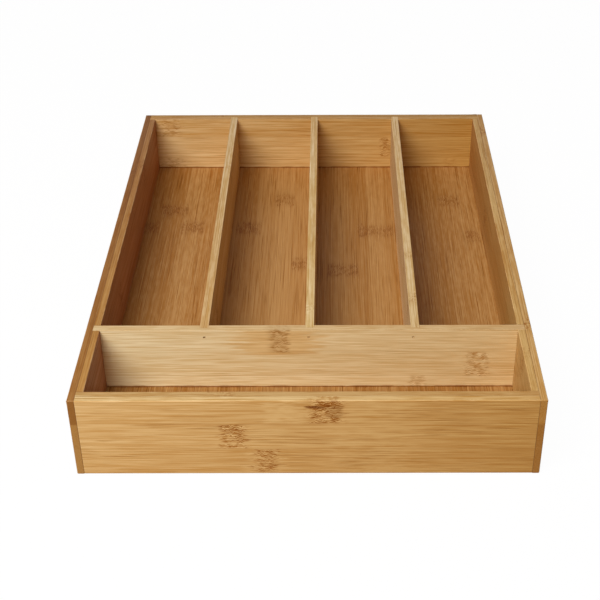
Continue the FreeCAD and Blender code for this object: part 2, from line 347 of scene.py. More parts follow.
# %% [markdown]
# ## Brads
#
# Machine-driven brads pin the joints while the glue dries. A brad is cut from flat wire: a blunt
# end, and a chisel point that finds its own way into the wood. It is modelled once, lying along
# Y with the middle of its blunt end at the origin. The end face is extruded and pinched to make
# the chisel, and the blunt end is inset and pushed in a little, as the driver leaves it.

# %% One brad
BRAD_WIDTH = 1.25 * MM
BRAD_THICKNESS = 1.0 * MM
BRAD_LENGTH = 18.0 * MM
BRAD_CHISEL = 2.0 * MM
BRAD_SINK = 0.6 * MM
LOOKS_ALONG = 0.9
CHISEL_PINCH = 0.06
DISH_RIM = 0.22 * MM
DISH_DEPTH = 0.09 * MM
HOLE_ROOM = 0.03 * MM
HOLE_MOUTH = -2.0 * MM


def select_faces(piece, test):
    """Goes into edit mode with only those faces selected that pass the test."""
    pick(piece)
    bpy.ops.object.mode_set(mode="EDIT")
    bpy.ops.mesh.select_mode(type="FACE")
    bpy.ops.mesh.select_all(action="DESELECT")
    bpy.ops.object.mode_set(mode="OBJECT")
    for face in piece.data.polygons:
        face.select = test(face)
    bpy.ops.object.mode_set(mode="EDIT")


def flat_wire(name, start, spare):
    """A brad's shape from a start to its chisel point, with spare room around it."""
    half_width = BRAD_WIDTH / 2 + spare
    half_thickness = BRAD_THICKNESS / 2 + spare
    shoulder = BRAD_LENGTH - BRAD_CHISEL
    wire = block(name, (-half_width, start, -half_thickness), (half_width, shoulder, half_thickness))
    select_faces(wire, lambda face: face.normal.y > LOOKS_ALONG)
    bpy.ops.mesh.extrude_region_move(TRANSFORM_OT_translate={"value": (0, BRAD_CHISEL + spare, 0)})
    bpy.ops.transform.resize(value=(CHISEL_PINCH, 1.0, 1.0))
    bpy.ops.object.mode_set(mode="OBJECT")
    return wire


pattern_brad = flat_wire("pattern_brad", 0.0, 0.0)
select_faces(pattern_brad, lambda face: face.normal.y < -LOOKS_ALONG)
bpy.ops.mesh.inset(thickness=DISH_RIM, depth=0.0)
bpy.ops.transform.translate(value=(0, DISH_DEPTH, 0))
bpy.ops.object.mode_set(mode="OBJECT")
pattern_hole = flat_wire("pattern_hole", HOLE_MOUTH, HOLE_ROOM)
print("a brad:", len(pattern_brad.data.polygons), "faces")

# %% [markdown]
# Sixteen brads hold the tray. Each is known by the middle of its blunt end and by the way its
# point faces, as a turn about the vertical. Three come through the cross divider into the long
# dividers, and three more through the back wall. Two pin the cross divider's own ends, and two
# stand one above the other in each corner.

# %% Where the brads are
TRAY_HALF_WIDTH = 127.5 * MM
TRAY_HALF_DEPTH = 175.0 * MM
CROSS_FRONT = -110.0 * MM
CROSS_MIDDLE = -107.5 * MM
DIVIDER_BRAD_HEIGHT = 46.0 * MM
CROSS_BRAD_HEIGHT = 30.75 * MM
CORNER_BRAD_Y = 169.0 * MM
CORNER_BRAD_HEIGHTS = (17.0 * MM, 39.0 * MM)
BRAD_PLACES = (-60.0 * MM, 0.0, 60.0 * MM)
POINTS_BACK = 0.0
POINTS_FORWARD = math.pi
POINTS_LEFT = math.pi / 2
POINTS_RIGHT = -math.pi / 2
SIDE_BLUNT = TRAY_HALF_WIDTH - BRAD_SINK
TRY_FROM = -0.5 * BRAD_SINK
TRY_TO = 0.97 * BRAD_LENGTH
TRY_STEPS = 24

brads = []
for number, x in enumerate(BRAD_PLACES, start=1):
    for end, y, way in (
        ("front", CROSS_FRONT + BRAD_SINK, POINTS_BACK),
        ("rear", TRAY_HALF_DEPTH - BRAD_SINK, POINTS_FORWARD),
    ):
        blunt = Vector((x, y, DIVIDER_BRAD_HEIGHT))
        brads.append((f"divider_{end}_brad_{number}", f"brads_divider_{end}s", blunt, way))
for side, sign, way in (("left", -1, POINTS_RIGHT), ("right", 1, POINTS_LEFT)):
    cross_blunt = Vector((sign * SIDE_BLUNT, CROSS_MIDDLE, CROSS_BRAD_HEIGHT))
    brads.append((f"{side}_cross_brad", "brads_cross_divider_ends", cross_blunt, way))
    for number, height in enumerate(CORNER_BRAD_HEIGHTS, start=1):
        for end, y in (("front", -CORNER_BRAD_Y), ("back", CORNER_BRAD_Y)):
            blunt = Vector((sign * SIDE_BLUNT, y, height))
            brads.append((f"{side}_{end}_corner_brad_{number}", f"brads_{end}_corners", blunt, way))


def place_copy(pattern, name, place, turn):
    """A copy of a pattern with its own mesh, turned and put in its place."""
    copy = pattern.copy()
    copy.data = pattern.data.copy()
    bpy.context.scene.collection.objects.link(copy)
    copy.name = name
    copy.rotation_euler.z = turn
    copy.location = place
    pick(copy)
    bpy.ops.object.transform_apply(location=True, rotation=True, scale=True)
    return copy


def drill(board, low, high):
    """Cuts the hole of every brad that has some point of its length inside the board's box."""
    for name, _, place, turn in brads:
        way = Vector((-math.sin(turn), math.cos(turn), 0))
        shares = [i / TRY_STEPS for i in range(TRY_STEPS + 1)]
        steps = [place + way * (TRY_FROM + (TRY_TO - TRY_FROM) * share) for share in shares]
        if any(all(low[k] < point[k] < high[k] for k in range(3)) for point in steps):
            cut(board, place_copy(pattern_hole, f"{name}_hole", place, turn))


print("brads:", len(brads))

# %% [markdown]
# ## The boards of the tray
#
# `board` puts the steps together: a block over the solid, the router's cuts, the brads' holes and
# the eased edges. Then it rides on the tray's one body and stands for its solid, which is no
# longer shown. Its arrises are named by the two faces that meet in them, each an axis (0 for X,
# 1 for Y, 2 for Z) and a side.
#
# The walls have two plies, glued face to face. The outer plies of the sides run the whole depth
# and cover the ends of the front and back walls.

# %% A function for every board
LEFT = (0, -1)
RIGHT = (0, 1)
FRONT = (1, -1)
BACK = (1, 1)
UNDER = (2, -1)
TOP = (2, 1)
FLOOR_TOP = 10.5 * MM
FLOOR_UNDER = 6.5 * MM
GROOVE = 3.0 * MM
SPARE = 5.0 * MM
HOUSING_FOOT = FLOOR_TOP - 1.0 * MM


def board(node, slot, arrises, cuts=()):
    """Models a board over its solid, and lets it stand for the solid."""
    low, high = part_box(node)
    made = block(f"{node}_board", low, high)
    for number, (cut_low, cut_high) in enumerate(cuts):
        cut(made, block(f"{node}_cutter_{number}", cut_low, cut_high))
    drill(made, low, high)
    ease_edges(made, arrises)
    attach(made, "root")
    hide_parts(node)
    print(made.name, len(made.data.polygons), "faces")
    return made


# %% [markdown]
# The side walls. The outer plies are plain. The inner plies have a groove along them for the
# floor, and a housing for the end of the cross divider, which is a slot across the grain. Every
# cutter reaches past the board where its cut runs out, because a cut that stops level with a face
# can leave a skin there.

# %% The side walls
cross_low, cross_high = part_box("cross_divider")
for side, sign, outside, inside in (("left", -1, LEFT, RIGHT), ("right", 1, RIGHT, LEFT)):
    arrises = [(outside, way) for way in (TOP, UNDER, FRONT, BACK)] + [(TOP, FRONT), (TOP, BACK)]
    board(f"{side}_side_outer_ply", "bamboo_side_outer", arrises)
    inner = f"{side}_side_inner_ply"
    low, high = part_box(inner)
    face_x = low.x if sign > 0 else high.x
    groove_x = sorted((face_x - sign * SPARE, face_x + sign * GROOVE))
    housing_x = sorted((face_x - sign * SPARE, face_x + sign * SPARE))
    groove = ((groove_x[0], low.y - SPARE, FLOOR_UNDER), (groove_x[1], high.y + SPARE, FLOOR_TOP))
    slot = ((housing_x[0], cross_low.y, HOUSING_FOOT), (housing_x[1], cross_high.y, high.z + SPARE))
    board(inner, "bamboo_side_inner", [(inside, TOP), (inside, UNDER)], [groove, slot])

# %% [markdown]
# The front and back walls. Their inner plies carry the same groove, so the floor is held on all
# four sides and needs no glue. The back wall also has a housing for the rear end of each long
# divider.

# %% The front and back walls
DIVIDERS = ("divider_left", "divider_centre", "divider_right")


def housing(divider, low_y, high_y, foot, top):
    """The two corners of a cutter for the end of one divider."""
    low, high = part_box(divider)
    return (low.x, low_y, foot), (high.x, high_y, top + SPARE)


for end, sign, outside, inside in (("front", -1, FRONT, BACK), ("back", 1, BACK, FRONT)):
    board(f"{end}_wall_outer_ply", "bamboo_end_outer", [(outside, TOP), (outside, UNDER)])
    inner = f"{end}_wall_inner_ply"
    low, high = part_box(inner)
    face_y = low.y if sign > 0 else high.y
    groove_y = sorted((face_y - sign * SPARE, face_y + sign * GROOVE))
    cuts = [((low.x - SPARE, groove_y[0], FLOOR_UNDER), (high.x + SPARE, groove_y[1], FLOOR_TOP))]
    if end == "back":
        for divider in DIVIDERS:
            cuts.append(housing(divider, low.y - SPARE, high.y + SPARE, HOUSING_FOOT, high.z))
    board(inner, "bamboo_end_inner", [(inside, TOP), (inside, UNDER)], cuts)

# %% [markdown]
# The floor, the cross divider and the long dividers. The floor is a plain panel, whose edges are
# out of sight in the groove. The cross divider has three housings in its rear face, for the long
# dividers' front ends. Only the top edges of the dividers are rounded, because hands meet no
# others.

# %% The floor, the cross divider and the long dividers
board("base_panel", "bamboo_base", [])

housings = []
for divider in DIVIDERS:
    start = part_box(divider)[0].y
    foot = cross_low.z - SPARE
    housings.append(housing(divider, start, cross_high.y + SPARE, foot, cross_high.z))
board("cross_divider", "bamboo_divider", [(TOP, FRONT), (TOP, BACK)], housings)

for divider in DIVIDERS:
    board(divider, "bamboo_divider", [(TOP, LEFT), (TOP, RIGHT)])

# %% [markdown]
# The brads have a tan coat, and the driver scraped it off some of them. How much is gone is
# written into each brad as an attribute, which its finish reads. The first one in the cross
# divider lost nearly all of it, and stands out as a dark dot.

# %% The brads in their places
SCRAPED_BRAD = "divider_front_brad_1"
MOST_SCRAPED = 0.35
chance = random.Random(7)
for name, node, place, turn in brads:
    brad = place_copy(pattern_brad, name, place, turn)
    scraped = brad.data.attributes.new("scraped", "FLOAT", "FACE")
    amount = 1.0 if name == SCRAPED_BRAD else chance.uniform(0.0, MOST_SCRAPED)
    for face in brad.data.polygons:
        scraped.data[face.index].value = amount
    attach(brad, "root")
    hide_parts(node)
bpy.data.objects.remove(pattern_brad)
bpy.data.objects.remove(pattern_hole)

# %% [markdown]
# ## How bamboo board looks
#
# A bamboo stem is hollow, so a board is glued up from narrow strips that were split from its
# wall. Each strip comes from another stem and has its own tone. Along it run fibre bundles, as
# fine dark dashes. Where the stem had a knuckle, the bundles cross and curl, and the wood is
# darker there for the length of a fingernail.
#
# One way would be a picture of bamboo. A picture repeats, and it has no thickness. Here the
# pattern is worked out from where a point lies in the board, in three directions: along the
# grain, across the strips and through the thickness. So the same pattern shows long dashes on a
# face and dots on sawn ends, as real fibre does. All sizes below are in millimetres.
#
# The pattern is split into node groups, one for each thing that can be seen, so that every board
# shares them. `new_group` makes an empty group with its sockets, and `use_group` places one.
# `grain_noise` is the brush for all of them: noise whose lumps are long along the grain, and
# `grain_mask` makes streaks or patches of it. `paint` mixes a colour written as on a paint card.

# %% Helpers for node groups
FLOAT = "NodeSocketFloat"
VECTOR = "NodeSocketVector"
COLOR = "NodeSocketColor"


def paint(code):
    """A colour written as on a paint card, in the linear values that nodes use."""
    parts = [int(code[i : i + 2], 16) / 255 for i in (0, 2, 4)]
    linear = [p / 12.92 if p <= 0.04045 else ((p + 0.055) / 1.055) ** 2.4 for p in parts]
    return (*linear, 1.0)


def plus(first, second):
    """One value plus another."""
    return work_out("ADD", first, second)


def minus(first, second):
    """One value minus another."""
    return work_out("SUBTRACT", first, second)


def kind_of(value):
    """A colour has four parts, a vector three, and a plain number none."""
    if isinstance(value, (int, float)):
        return FLOAT
    return COLOR if len(value) == 4 else VECTOR


def new_group(name, result_names, **inputs):
    """A node group, what it is given and its results. An input's usual value says its kind."""
    tree = bpy.data.node_groups.new(name, "ShaderNodeTree")
    for label, value in inputs.items():
        spaced = label.replace("_", " ")
        socket = tree.interface.new_socket(name=spaced, in_out="INPUT", socket_type=kind_of(value))
        socket.default_value = value
    for label in result_names:
        kind = COLOR if label in ("Tone", "Colour") else FLOAT
        tree.interface.new_socket(name=label, in_out="OUTPUT", socket_type=kind)
    given = tree.nodes.new("NodeGroupInput").outputs
    results = tree.nodes.new("NodeGroupOutput").inputs
    return tree, given, results


def tell(tree):
    """Prints how large a group has become."""
    print("group", tree.name, len(tree.nodes), "nodes")


def use_group(tree, group_tree, **values):
    """Places a group in a material or in another group, and fills its sockets."""
    node = tree.nodes.new("ShaderNodeGroup")
    node.node_tree = group_tree
    for label, value in values.items():
        plug(value, node.inputs[label.replace("_", " ")])
    return node.outputs


def split(vector):
    """A vector's three parts."""
    node = tree_of(vector).nodes.new("ShaderNodeSeparateXYZ")
    plug(vector, node.inputs[0])
    return node.outputs


def vector_work(operation, first, second):
    """A Vector Math node."""
    node = tree_of(first).nodes.new("ShaderNodeVectorMath")
    node.operation = operation
    plug(first, node.inputs[0])
    plug(second, node.inputs[1])
    return node.outputs


def attribute(tree, name):
    """What the modelling wrote into each face under this name."""
    node = tree.nodes.new("ShaderNodeAttribute")
    node.attribute_name = name
    return node.outputs["Fac"]


def grain_noise(place, sizes, detail, seed):
    """Noise whose lumps have these sizes along, across and through the board."""
    tree = tree_of(place)
    stretch = tree.nodes.new("ShaderNodeMapping")
    plug(place, stretch.inputs["Vector"])
    stretch.inputs["Scale"].default_value = [1 / size for size in sizes]
    texture = tree.nodes.new("ShaderNodeTexNoise")
    texture.noise_dimensions = "4D"
    texture.inputs["Scale"].default_value = 1.0
    texture.inputs["Detail"].default_value = detail
    plug(seed, texture.inputs["W"])
    plug(stretch.outputs[0], texture.inputs["Vector"])
    return texture.outputs["Fac"]


def grain_mask(place, grain, seed, low=0.0, high=1.0):
    """Rises from low to high with a noise. A grain is sizes, detail, and where it starts and ends."""
    sizes, detail, start, end = grain
    return ramp(grain_noise(place, sizes, detail, seed), start, end, low, high)


# %% [markdown]
# The strips. Dividing the distance across the board by a strip's width gives the strip's number,
# and White Noise turns that number into a tone that nothing else has. The thin glue line lies
# where the division leaves almost nothing over.

# %% The group for the strips
GLUE_LINE = (0.05, 0.3)

tree, given, results = new_group(
    "bamboo_strips",
    ("Strip Tone", "Glue Line"),
    Place=(0, 0, 0),
    First_Edge=0.0,
    Strip_Width=17.0,
    Seed=0.0,
)
from_edge = minus(split(given["Place"])["Y"], given["First Edge"])
strips_across = work_out("DIVIDE", from_edge, given["Strip Width"])
strip_number = work_out("FLOOR", strips_across)
pair = tree.nodes.new("ShaderNodeCombineXYZ")
plug(strip_number, pair.inputs[0])
plug(given["Seed"], pair.inputs[1])
numbered = tree.nodes.new("ShaderNodeTexWhiteNoise")
numbered.noise_dimensions = "2D"
plug(pair.outputs[0], numbered.inputs["Vector"])
plug(numbered.outputs["Value"], results["Strip Tone"])
nearest_edge = work_out("PINGPONG", strips_across, 0.5)
edge_distance = times(nearest_edge, given["Strip Width"])
plug(ramp(edge_distance, *GLUE_LINE, 1.0, 0.0), results["Glue Line"])
strip_group = tree
tell(tree)

# %% [markdown]
# The board's tone. A board is never one colour from end to end, and its narrow edges show the strips
# from the side, where they took the oil differently. So each board has four tones: its face and its
# edge, at the left or near end and at the right or far end. The group blends them by the place along
# the board, and by whether the surface looks up or to the side. On the boards that face the front, the
# blend from start to end also carries painted shade, as the light falls off to the right.

# %% The group for the board's tone
PLAIN_BAMBOO = paint("DDB57C")
LOOKS_UP = (0.55, 0.85)

tree, given, results = new_group(
    "board_tone",
    ("Tone", "Edge"),
    Place=(0, 0, 0),
    Half_Length=127.5,
    Face_Start=PLAIN_BAMBOO,
    Face_End=PLAIN_BAMBOO,
    Edge_Start=PLAIN_BAMBOO,
    Edge_End=PLAIN_BAMBOO,
)
along = work_out("DIVIDE", split(given["Place"])["X"], given["Half Length"])
along = plus(times(along, 0.5), 0.5)
surface = tree.nodes.new("ShaderNodeNewGeometry")
upward = work_out("ABSOLUTE", split(surface.outputs["Normal"])["Z"])
edge = ramp(upward, *LOOKS_UP)
face_tone = mix_paints(along, given["Face Start"], given["Face End"])
edge_tone = mix_paints(along, given["Edge Start"], given["Edge End"])
plug(mix_paints(edge, face_tone, edge_tone), results["Tone"])
plug(edge, results["Edge"])
tone_group = tree
tell(tree)

# %% [markdown]
# The knuckle. It fills its strip from edge to edge and has ragged ends, because the bundles stop
# curling one by one. The group gives a mask that is 1 inside and 0 outside. A board has several,
# and each is placed by its own centre and size. The same group, long and thin, also gives the
# dark streak that some knuckles have beside them.

# %% The group for one knuckle
FADES_ALONG = (0.6, 1.2)
FADES_ACROSS = (0.85, 1.04)

tree, given, results = new_group(
    "bamboo_knuckle",
    ("Knuckle",),
    Place=(0, 0, 0),
    Centre=(0, 0, 0),
    Half_Size=(8, 8, 1),
    Ragged=0.5,
    Strength=1.0,
)
offset = vector_work("SUBTRACT", given["Place"], given["Centre"])[0]
share = split(vector_work("DIVIDE", offset, given["Half Size"])[0])
ragged_shift = times(minus(given["Ragged"], 0.5), 2.0)
along_share = work_out("ABSOLUTE", plus(share["X"], ragged_shift))
across_share = work_out("ABSOLUTE", share["Y"])
inside_along = ramp(along_share, *FADES_ALONG, 1.0, 0.0)
inside_across = ramp(across_share, *FADES_ACROSS, 1.0, 0.0)
inside = times(inside_along, inside_across)
plug(times(inside, given["Strength"]), results["Knuckle"])
knuckle_group = tree
tell(tree)

# %% [markdown]
# The fibre. Three noises are stretched along the grain: streaks, finer hairlines, and strands,
# which are the dark dashes. Strands crowd together near the stem's skin, so a broad noise makes
# them plenty in some places and few in others. The Stretch input draws all three out on boards
# that were sawn from longer strips. Mottle is a soft cloudiness that shows on narrow edges.
#
# In a knuckle the distance across is bent to and fro before a noise is read, and that curls the
# bundles. The bundles of a knuckle lie in rows, so a wave across the board is added to that noise.
# Its high parts are the dark curls, and its low parts are the pale glints between them. A patchy
# noise lets some of them fade. Height is for the bump: strands and curls lie a little lower.

# %% The group for the fibre
ROW_SPACING = 1.2
ROW_DEPTH = 0.14
BEND_REACH = 4.0
BEND_SIZE = (1.8, 2.8, 2.8)
CURL_SIZE = (4.5, 0.75, 0.75)
PATCH_SIZE = (3.6, 3.0, 3.0)
STREAKS = ((60, 0.6, 0.6), 2.5, 0.32, 0.68)
HAIRLINES = ((22, 0.4, 0.4), 2.0, 0.38, 0.62)
STRANDS = ((20, 0.42, 0.42), 1.0, 0.54, 0.66)
CROWDS = ((55, 5.0, 5.0), 1.0, 0.4, 0.62)
FEWEST_STRANDS = 0.15
MOST_STRANDS = 1.3
MOTTLE = ((10, 2.0, 2.0), 2.0, 0.35, 0.65)
CURLS = (0.47, 0.6)
GLINTS = (0.44, 0.34)
SHADE = (0.42, 0.62)
FADED_CURLS = (0.36, 0.58, 0.65, 1.0)
HAIRLINE_RISE = 0.35
STRAND_FALL = 0.5
CURL_FALL = 0.2

tree, given, results = new_group(
    "bamboo_fibre",
    ("Streaks", "Hairlines", "Strands", "Curls", "Glints", "Shade", "Mottle", "Height"),
    Place=(0, 0, 0),
    Stretch=(1, 1, 1),
    Knuckle=0.0,
    Seed=0.0,
)
seed = given["Seed"]
bend = minus(grain_noise(given["Place"], BEND_SIZE, 1.0, seed), 0.5)
bend = times(bend, given["Knuckle"])
bend_across = tree.nodes.new("ShaderNodeCombineXYZ")
plug(times(bend, BEND_REACH), bend_across.inputs["Y"])
bent_place = vector_work("ADD", given["Place"], bend_across.outputs[0])[0]
long_place = vector_work("MULTIPLY", bent_place, given["Stretch"])[0]
streaks = grain_mask(long_place, STREAKS, seed)
hairlines = grain_mask(long_place, HAIRLINES, seed)
crowded = grain_mask(bent_place, CROWDS, seed, FEWEST_STRANDS, MOST_STRANDS)
strands = times(grain_mask(long_place, STRANDS, seed), crowded)
mottle = grain_mask(given["Place"], MOTTLE, seed)

rows = times(split(bent_place)["Y"], 2 * math.pi / ROW_SPACING)
rows = times(work_out("SINE", rows), ROW_DEPTH)
curl_noise = plus(grain_noise(bent_place, CURL_SIZE, 1.0, seed), rows)
patch_noise = grain_noise(given["Place"], PATCH_SIZE, 1.0, seed)
curls = times(ramp(curl_noise, *CURLS), given["Knuckle"])
curls = times(curls, ramp(patch_noise, *FADED_CURLS))
glints = times(ramp(curl_noise, *GLINTS), given["Knuckle"])
shade = times(ramp(patch_noise, *SHADE), given["Knuckle"])
height = times(hairlines, HAIRLINE_RISE)
height = minus(height, times(strands, STRAND_FALL))
height = minus(height, times(curls, CURL_FALL))
for result, value in zip(results, (streaks, hairlines, strands, curls, glints, shade, mottle, height)):
    plug(value, result)
fibre_group = tree
tell(tree)

# %% [markdown]
# The colour. The tone is the palest that the board gets, and every streak lays some of one deeper
# tint over it. The tint takes more from blue than from red, because bamboo turns more orange as
# it darkens. Glints take the tint away again. Strands, curls, glue lines, dark streaks and the
# brown haze round some knuckles are laid over that in stains. A stain multiplies the colour under
# it, as a glaze does, where plain mixing would turn it grey.

# %% The group for the colour
DEEP_TINT = "D8BF94"
STRAND_STAIN = "CBB484"
KNUCKLE_STAIN = "C29420"
DARK_STAIN = "A27C30"
HAZE_STAIN = "F1DDBE"
HAIRLINE_SHARE = 0.44
MOTTLE_SHARE = 0.32
GLINT_SHARE = 0.8
SHADE_SHARE = 0.45
GLUE_SHARE = 0.35

tree, given, results = new_group(
    "bamboo_colour",
    ("Colour",),
    Tone=PLAIN_BAMBOO,
    Strip_Tone=0.5,
    Strip_Share=0.3,
    Streaks=0.5,
    Streak_Share=0.48,
    Hairlines=0.5,
    Strands=0.0,
    Strand_Share=0.5,
    Curls=0.0,
    Glints=0.0,
    Shade=0.0,
    Mottle=0.5,
    Edge=0.0,
    Dark_Streak=0.0,
    Haze=0.0,
    Glue_Line=0.0,
)
strip_part = times(given["Strip Tone"], given["Strip Share"])
streak_part = times(given["Streaks"], given["Streak Share"])
hair_part = times(given["Hairlines"], HAIRLINE_SHARE)
depth = plus(plus(strip_part, streak_part), hair_part)
mottle_part = times(minus(given["Mottle"], 0.5), MOTTLE_SHARE)
depth = plus(depth, times(mottle_part, given["Edge"]))
no_glint = minus(1.0, times(given["Glints"], GLINT_SHARE))
depth = times(depth, no_glint)
colour = mix_paints(depth, given["Tone"], paint(DEEP_TINT), "MULTIPLY")
for share, stain in (
    (times(given["Strands"], given["Strand Share"]), STRAND_STAIN),
    (times(given["Shade"], SHADE_SHARE), KNUCKLE_STAIN),
    (given["Curls"], KNUCKLE_STAIN),
    (given["Dark Streak"], DARK_STAIN),
    (given["Haze"], HAZE_STAIN),
    (times(given["Glue Line"], GLUE_SHARE), STRAND_STAIN),
):
    colour = mix_paints(share, colour, paint(stain), "MULTIPLY")
plug(colour, results["Colour"])
colour_group = tree
tell(tree)

# %% [markdown]
# The wear and painted light. The arrises are a little paler than the faces, partly where sanding and
# hands rubbed them and partly as a painted highlight along the rounded edge. Glue and dust darken the
# fine line where two boards meet. Sawn ends drink more oil than faces, so they are darker too: the
# group compares the surface's direction with the grain's to find them. A sawn end shows the strips end
# on, and the Dark End mask stains those that are darker right through.
#
# Where the back wall and the cross divider stand on the floor, the wood within a millimetre or so of
# the corner is darkened. That is painted shade, for the shadow that gathers in those corners. On an
# upright board the distance is measured up from the floor, and on the floor it is measured from the
# lines where the boards stand.

# %% The group for wear, sawn ends and painted light
RUBBED_AND_HIGHLIT_PATCHES = ((14, 9, 9), 2.0, 0.4, 0.65)
RUBBED_AND_HIGHLIT_SHARE = 0.3
JOINT_SHARE = 0.65
SAWN_ACROSS = (0.6, 0.9)
SAWN_SHARE = 0.6
FLOOR_BACK_Y = 167.0
CORNER_SHADE_REACH = 50.0
CORNER_SHADE_PATCHES = ((12, 12, 12), 2.0, 0.35, 0.65)
CORNER_SHADE_START = 0.15
CORNER_SHADE_ENDS = (0.5, 1.4)
CORNER_SHADE_SHARE = 0.9
SAWN_DULLNESS = 0.2
HAIRLINE_DULLNESS = 0.1

tree, given, results = new_group(
    "board_wear_and_painted_light",
    ("Colour", "Roughness"),
    Colour=PLAIN_BAMBOO,
    Place=(0, 0, 0),
    Tray_Place=(0, 0, 0),
    Edge=0.0,
    Grime_Share=1.0,
    Grain_Way=(1, 0, 0),
    Rubbed_Paint=paint("E7C792"),
    Joint_Paint=paint("6B421F"),
    End_Paint=paint("94652B"),
    Grime_Stain=paint("AC7A4A"),
    Dark_End=0.0,
    End_Stain=paint("DCCBB5"),
    Hairlines=0.5,
    Gloss=0.42,
)
# The paler arris is partly rubbed wear and partly a painted highlight.
patchy = grain_mask(given["Place"], RUBBED_AND_HIGHLIT_PATCHES, 3.0)
rubbed_and_highlit_share = times(times(attribute(tree, "rubbed_and_highlit_arris"), patchy), RUBBED_AND_HIGHLIT_SHARE)
joint_share = times(attribute(tree, "joint_edge"), JOINT_SHARE)
surface = tree.nodes.new("ShaderNodeNewGeometry")
facing = vector_work("DOT_PRODUCT", surface.outputs["Normal"], given["Grain Way"])["Value"]
sawn_end = ramp(work_out("ABSOLUTE", facing), *SAWN_ACROSS)
end_share = times(sawn_end, SAWN_SHARE)
dark_end = times(sawn_end, given["Dark End"])


def distance(socket, place):
    """How far a point lies from a place on one axis."""
    return work_out("ABSOLUTE", minus(socket, place))


spot = split(given["Tray Place"])
up_from_floor = distance(spot["Z"], FLOOR_TOP / MM)
from_back = distance(spot["Y"], FLOOR_BACK_Y)
from_cross = distance(spot["Y"], CROSS_FRONT / MM)
from_walls = work_out("MINIMUM", from_back, from_cross)
on_floor = times(given["Edge"], CORNER_SHADE_REACH)
off_floor = minus(CORNER_SHADE_REACH, on_floor)
on_upright = plus(up_from_floor, on_floor)
on_level = plus(from_walls, plus(off_floor, up_from_floor))
from_corner = work_out("MINIMUM", on_upright, on_level)
reach = grain_mask(given["Tray Place"], CORNER_SHADE_PATCHES, 6.0, *CORNER_SHADE_ENDS)
# Painted shade: darkens the wood near the corners where boards stand on the floor.
corner_shade = ramp(from_corner, CORNER_SHADE_START, reach, CORNER_SHADE_SHARE, 0.0)
corner_shade = times(corner_shade, given["Grime Share"])

worn_with_painted_light = mix_paints(end_share, given["Colour"], given["End Paint"])
worn_with_painted_light = mix_paints(dark_end, worn_with_painted_light, given["End Stain"], "MULTIPLY")
worn_with_painted_light = mix_paints(rubbed_and_highlit_share, worn_with_painted_light, given["Rubbed Paint"])
worn_with_painted_light = mix_paints(joint_share, worn_with_painted_light, given["Joint Paint"])
worn_with_painted_light = mix_paints(corner_shade, worn_with_painted_light, given["Grime Stain"], "MULTIPLY")
plug(worn_with_painted_light, results["Colour"])
dull = plus(given["Gloss"], times(sawn_end, SAWN_DULLNESS))
dull = plus(dull, times(given["Hairlines"], HAIRLINE_DULLNESS))
plug(dull, results["Roughness"])
wear_and_light_group = tree
tell(tree)

# %% [markdown]
# ## One finish for each board
#
# The Mapping node turns the board's own place, in metres, into millimetres along, across and
# through it. Five kinds of mark lie on a board: knuckles, dark streaks, hazes, pale patches and
# dark ends. `masks` lays them all in the same way, from five numbers for each.

# %% Marks on a board
ALONG_X = ((1, 0, 0), (0, 0, 1), (0, -1, 0))
ALONG_Y = ((0, 1, 0), (0, 0, 1), (1, 0, 0))
FLOOR_ALONG_Y = ((0, 1, 0), (-1, 0, 0), (0, 0, 1))
NO_TURN = ((1, 0, 0), (0, 1, 0), (0, 0, 1))


def in_millimetres(tree, turn):
    """A place in millimetres along, across and through the board."""
    coordinates = tree.nodes.new("ShaderNodeTexCoord")
    mapping = tree.nodes.new("ShaderNodeMapping")
    mapping.inputs["Rotation"].default_value = Matrix(turn).to_euler()
    mapping.inputs["Scale"].default_value = (1 / MM, 1 / MM, 1 / MM)
    plug(coordinates.outputs["Object"], mapping.inputs["Vector"])
    return mapping.outputs[0]


def add_bump(shader, height, distance, strength):
    """Lets small heights and hollows catch the light."""
    node = tree_of(height).nodes.new("ShaderNodeBump")
    plug(height, node.inputs["Height"])
    plug(distance, node.inputs["Distance"])
    plug(strength, node.inputs["Strength"])
    plug(node.outputs[0], shader.inputs["Normal"])


def masks(place, ragged, spots):
    """All spots of one kind in one mask. Each is along, across, half length, half width, strength."""
    found = 0.0
    for along, across, half_length, half_width, strength in spots:
        one = use_group(
            tree_of(place),
            knuckle_group,
            Place=place,
            Centre=(along, across, 0),
            Half_Size=(half_length, half_width, 1),
            Ragged=ragged,
            Strength=strength,
        )
        found = work_out("MAXIMUM", one["Knuckle"], found)
    return found


# %% [markdown]
# The tones of every board, as they were judged in the studio's light: its face at the start and at the
# end of the board, then its top edge at the start and at the end. The left wall is made of the darkest
# wood and the cross divider of the palest. The faces of the front wall, of the back wall's inner ply
# and of the cross divider darken and turn browner to the right, and that change is painted shade, as
# the light falls off across them.

